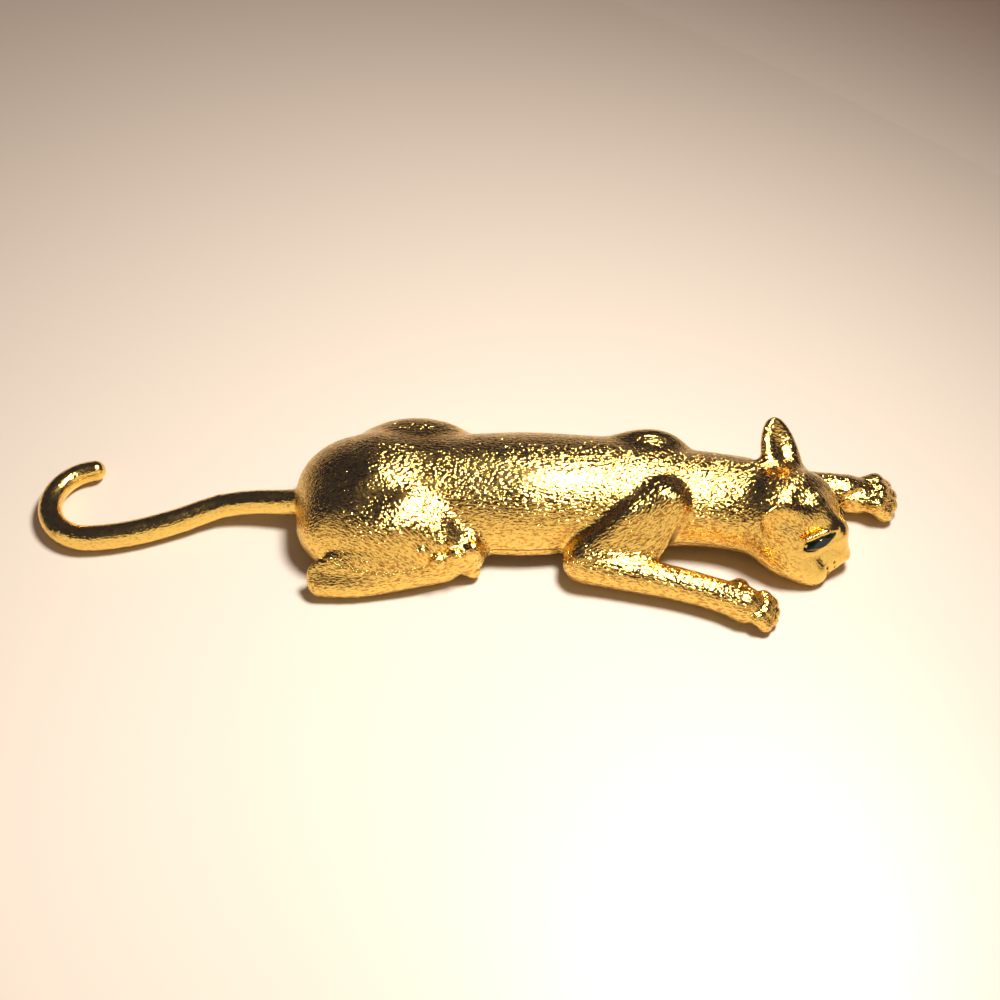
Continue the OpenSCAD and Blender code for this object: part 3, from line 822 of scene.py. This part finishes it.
def write_fur(mesh, P):
    """Coordinates that the engraving follows: the body's, and the nearest limb's with its share."""
    body = np.minimum(barrel(ends=BARREL_FUR_ENDS).distance(P), ellipsoid(*RUMP).distance(P))
    near = np.full(len(P), ENDLESS)
    limb = np.zeros((len(P), 3))
    for rows, apart, shape in furred_limbs():
        d = shape.distance(P)
        closer = d < near
        near[closer] = d[closer]
        limb[closer] = along_limb(rows, P[closer]) + (apart, 0, 0)
    d = head_ball(*HEAD_FUR).distance(P)
    closer = d < near
    near[closer] = d[closer]
    limb[closer] = (P[closer] - HEAD_AT) @ HEAD.T + HEAD_APART
    share = smooth_step(body - near, -FUR_BLEND, FUR_BLEND)
    around = np.arctan2(P[:, 2] - BARREL_UP, P[:, 1])
    out = np.hypot(P[:, 1], P[:, 2] - BARREL_UP)
    torso = np.stack([P[:, 0], around * BARREL_R, out], 1)
    for name, values in (("fur_body", torso), ("fur_limb", limb)):
        mesh.attributes.new(name, "FLOAT_VECTOR", "POINT").data.foreach_set("vector", values.ravel())
    for name, values in (("limb_share", share), ("fur_share", fur_depth(P))):
        mesh.attributes.new(name, "FLOAT", "POINT").data.foreach_set("value", values)


def principled(name, colour, roughness, metallic):
    m = bpy.data.materials.new(name)
    m.use_nodes = True
    shader = m.node_tree.nodes["Principled BSDF"]
    shader.inputs["Base Color"].default_value = (*colour, 1)
    shader.inputs["Roughness"].default_value = roughness
    shader.inputs["Metallic"].default_value = metallic
    return m, shader


def noise_on(tree, vector, stretch, scale, detail, distortion):
    """Noise that is drawn out along the first coordinate."""
    mapping = tree.nodes.new("ShaderNodeMapping")
    mapping.inputs["Scale"].default_value = stretch
    tree.links.new(vector, mapping.inputs["Vector"])
    noise = tree.nodes.new("ShaderNodeTexNoise")
    noise.inputs["Scale"].default_value = scale
    noise.inputs["Detail"].default_value = detail
    noise.inputs["Distortion"].default_value = distortion
    tree.links.new(mapping.outputs["Vector"], noise.inputs["Vector"])
    return noise.outputs["Fac"]


def attribute(tree, name):
    node = tree.nodes.new("ShaderNodeAttribute")
    node.attribute_name = name
    return node


def strokes(tree, source, stretch, scale, detail, distortion):
    """Short engraved strokes along the first coordinate of an attribute."""
    vector = attribute(tree, source).outputs["Vector"]
    return noise_on(tree, vector, (1.0 / stretch, 1.0, 1.0), scale, detail, distortion)


def ranged(tree, value, low, high, start, end):
    """The value's range from low to high, carried over to start to end."""
    node = tree.nodes.new("ShaderNodeMapRange")
    for name, number in (("From Min", low), ("From Max", high), ("To Min", start), ("To Max", end)):
        node.inputs[name].default_value = number
    tree.links.new(value, node.inputs["Value"])
    return node.outputs["Result"]


def colour_between(tree, factor, first, second):
    node = tree.nodes.new("ShaderNodeMix")
    node.data_type = "RGBA"
    node.inputs["A"].default_value = (*first, 1)
    node.inputs["B"].default_value = (*second, 1)
    tree.links.new(factor, node.inputs["Factor"])
    return node.outputs["Result"]


def number_between(tree, factor, first, second):
    node = tree.nodes.new("ShaderNodeMix")
    for socket, value in (("Factor", factor), ("A", first), ("B", second)):
        if isinstance(value, float):
            node.inputs[socket].default_value = value
        else:
            tree.links.new(value, node.inputs[socket])
    return node.outputs["Result"]


def bumped(tree, shader, height, depth):
    """Relief of a height on a shader, with its depth in mm."""
    bump = tree.nodes.new("ShaderNodeBump")
    bump.inputs["Strength"].default_value = 1.0
    bump.inputs["Distance"].default_value = depth * MM
    tree.links.new(height, bump.inputs["Height"])
    tree.links.new(bump.outputs["Normal"], shader.inputs["Normal"])


def gold_material():
    """Bright plate over engraved fur, browner and duller in the strokes' grounds, where that darkening is
    painted shade.
    """
    m, shader = principled("gold_plate", GOLD, GOLD_ROUGHNESS[1], 1.0)
    t = m.node_tree
    share = attribute(t, "limb_share").outputs["Fac"]
    fur = [strokes(t, source, *FUR_STROKES) for source in ("fur_body", "fur_limb")]
    height = number_between(t, share, *fur)
    height = number_between(t, attribute(t, "fur_share").outputs["Fac"], NO_STROKE, height)
    bumped(t, shader, height, FUR_DEPTH)
    # Painted shade: the strokes' low grounds turn to the darker gold
    groove_shade = ranged(t, height, *GROOVE_SHADE_HEIGHTS, 0.0, 1.0)
    t.links.new(colour_between(t, groove_shade, GROOVE_SHADE_GOLD, GOLD), shader.inputs["Base Color"])
    wear = strokes(t, "fur_body", *WEAR_SPOTS)
    t.links.new(ranged(t, wear, *WEAR_RANGE, *GOLD_ROUGHNESS), shader.inputs["Roughness"])
    return m


def plain_material(name, first, second, roughness, metallic, stretch, scale, depth):
    """Two near colours, a changing roughness and a fine relief, in spots or in drawn-out lines."""
    m, shader = principled(name, first, roughness[0], metallic)
    t = m.node_tree
    at = t.nodes.new("ShaderNodeTexCoord").outputs["Object"]
    noise = noise_on(t, at, [s / MM for s in (1.0 / stretch, 1.0, 1.0)], scale, PLAIN_DETAIL, 0.0)
    change = ranged(t, noise, *PLAIN_RANGE, 0.0, 1.0)
    t.links.new(colour_between(t, change, first, second), shader.inputs["Base Color"])
    t.links.new(ranged(t, noise, *PLAIN_RANGE, *roughness), shader.inputs["Roughness"])
    bumped(t, shader, noise, depth)
    return m


def thinned(cat, triangles):
    """The cat's mesh after it is brought down to the most triangles."""
    thin = cat.modifiers.new("thin", "DECIMATE")
    thin.ratio = MOST_TRIANGLES / triangles
    mesh = bpy.data.meshes.new_from_object(cat.evaluated_get(bpy.context.evaluated_depsgraph_get()))
    cat.modifiers.clear()
    cat.data = mesh
    return mesh


def build_casting(material):
    field = cat_field()
    verts, quads = surface_net(field.v, GRID_LOW, STEP)
    mesh = bpy.data.meshes.new("cat")
    mesh.from_pydata(((verts - ROW_ZERO) * MM).tolist(), [], quads.tolist())
    mesh.update()
    cat = bpy.data.objects.new("cat", mesh)
    bpy.context.scene.collection.objects.link(cat)
    if 2 * len(quads) > MOST_TRIANGLES:
        mesh = thinned(cat, 2 * len(quads))
    count = len(mesh.vertices)
    at = np.zeros(count * 3)
    mesh.vertices.foreach_get("co", at)
    P = at.reshape(-1, 3) / MM + ROW_ZERO
    slope = np.stack(np.gradient(field.v, STEP), -1)
    normal = sampled(slope, P)
    normal = normal / np.maximum(np.linalg.norm(normal, axis=1, keepdims=True), TINY)
    write_fur(mesh, P)
    for poly in mesh.polygons:
        poly.use_smooth = True
    mesh.normals_split_custom_set_from_vertices([Vector(v) for v in normal])
    mesh.materials.append(material)
    print("cat: vertices", count, "triangles", sum(len(p.vertices) - 2 for p in mesh.polygons))
    return cat


def build_lamp():
    data = bpy.data.lights.new("lamp", "AREA")
    data.shape = "DISK"
    data.size = LAMP_SIZE
    data.energy = LAMP_POWER
    data.color = LAMP_COLOUR
    data.spread = math.radians(LAMP_SPREAD)
    lamp = bpy.data.objects.new("lamp", data)
    lamp.location = LAMP_AT
    lamp.rotation_euler = (Vector(LAMP_AIM) - Vector(LAMP_AT)).to_track_quat("-Z", "Y").to_euler()
    bpy.context.scene.collection.objects.link(lamp)


def build_room():
    """A dark room with a bright wall behind the camera, as the gold sees it, and a pale backdrop."""
    world = bpy.data.worlds.new("room")
    bpy.context.scene.world = world
    world.use_nodes = True
    nodes, links = world.node_tree.nodes, world.node_tree.links

    def fade(value, start, end):
        step = nodes.new("ShaderNodeMapRange")
        step.interpolation_type = "SMOOTHSTEP"
        step.inputs["From Min"].default_value = start
        step.inputs["From Max"].default_value = end
        links.new(value, step.inputs["Value"])
        return step.outputs["Result"]

    def shade(colour):
        background = nodes.new("ShaderNodeBackground")
        background.inputs["Color"].default_value = (*colour, 1)
        return background.outputs["Background"]

    def mix(factor, first, second):
        node = nodes.new("ShaderNodeMixShader")
        links.new(factor, node.inputs["Fac"])
        links.new(first, node.inputs[1])
        links.new(second, node.inputs[2])
        return node.outputs["Shader"]

    way = nodes.new("ShaderNodeTexCoord")
    split = nodes.new("ShaderNodeSeparateXYZ")
    links.new(way.outputs["Generated"], split.inputs["Vector"])
    wall = nodes.new("ShaderNodeMath")
    wall.operation = "MULTIPLY"
    links.new(fade(split.outputs["Y"], *WALL_EDGE), wall.inputs[0])
    links.new(fade(split.outputs["Z"], *WALL_TOP), wall.inputs[1])
    room = mix(wall.outputs["Value"], shade(DARK_ROOM), shade(WALL_LIGHT))
    ray = nodes.new("ShaderNodeLightPath")
    room = mix(ray.outputs["Is Diffuse Ray"], room, shade(FILL_LIGHT))
    room = mix(ray.outputs["Is Camera Ray"], room, shade(BACKDROP))
    links.new(room, nodes["World Output"].inputs["Surface"])


def build_stage():
    bpy.ops.mesh.primitive_plane_add(size=TABLE_SIDE, location=(0, 0, 0))
    floor = bpy.context.object
    floor.name = "floor"
    material, _ = principled("floor", TABLE, TABLE_ROUGHNESS, 0.0)
    floor.data.materials.append(material)
    build_room()
    build_lamp()
    bpy.context.scene.view_settings.view_transform = "Standard"


def build_camera():
    """The photograph's view, down on the table from the near side."""
    target = (PICTURE_MIDDLE - ROW_ZERO) * MM
    distance, elevation = CAMERA_DISTANCE * MM, math.radians(CAMERA_UP)
    data = bpy.data.cameras.new("camera")
    data.sensor_width = SENSOR
    data.lens = SENSOR * PX_PER_MM * CAMERA_DISTANCE / PICTURE_PX
    data.clip_start = 0.01
    data.clip_end = 20.0
    camera = bpy.data.objects.new("camera", data)
    camera.location = target + distance * np.array([0, -math.cos(elevation), math.sin(elevation)])
    camera.rotation_euler = (math.radians(90) - elevation, 0, 0)
    bpy.context.scene.collection.objects.link(camera)
    bpy.context.scene.camera = camera


def stone_material():
    """Nearly black glass, a little unevenly polished."""
    return plain_material(
        "eye_stone", first=(0.004, 0.011, 0.009), second=(0.012, 0.028, 0.024),
        roughness=(0.05, 0.12), metallic=0.0, stretch=1.0, scale=0.9, depth=0.004,
    )


def pin_material():
    """Satin metal, drawn along its length."""
    return plain_material(
        "pin_metal", first=(0.85, 0.62, 0.28), second=(0.70, 0.48, 0.20),
        roughness=(0.22, 0.38), metallic=1.0, stretch=14.0, scale=3.0, depth=0.012,
    )


cat = build_casting(gold_material())
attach(cat, "root")
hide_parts("casting")

stone = stone_material()
metal = pin_material()
for name, material in (("eye_stone_near", stone), ("eye_stone_far", stone), ("pin_back", metal)):
    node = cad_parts[name]
    node.data.materials.clear()
    node.data.materials.append(material)

build_stage()
build_camera()
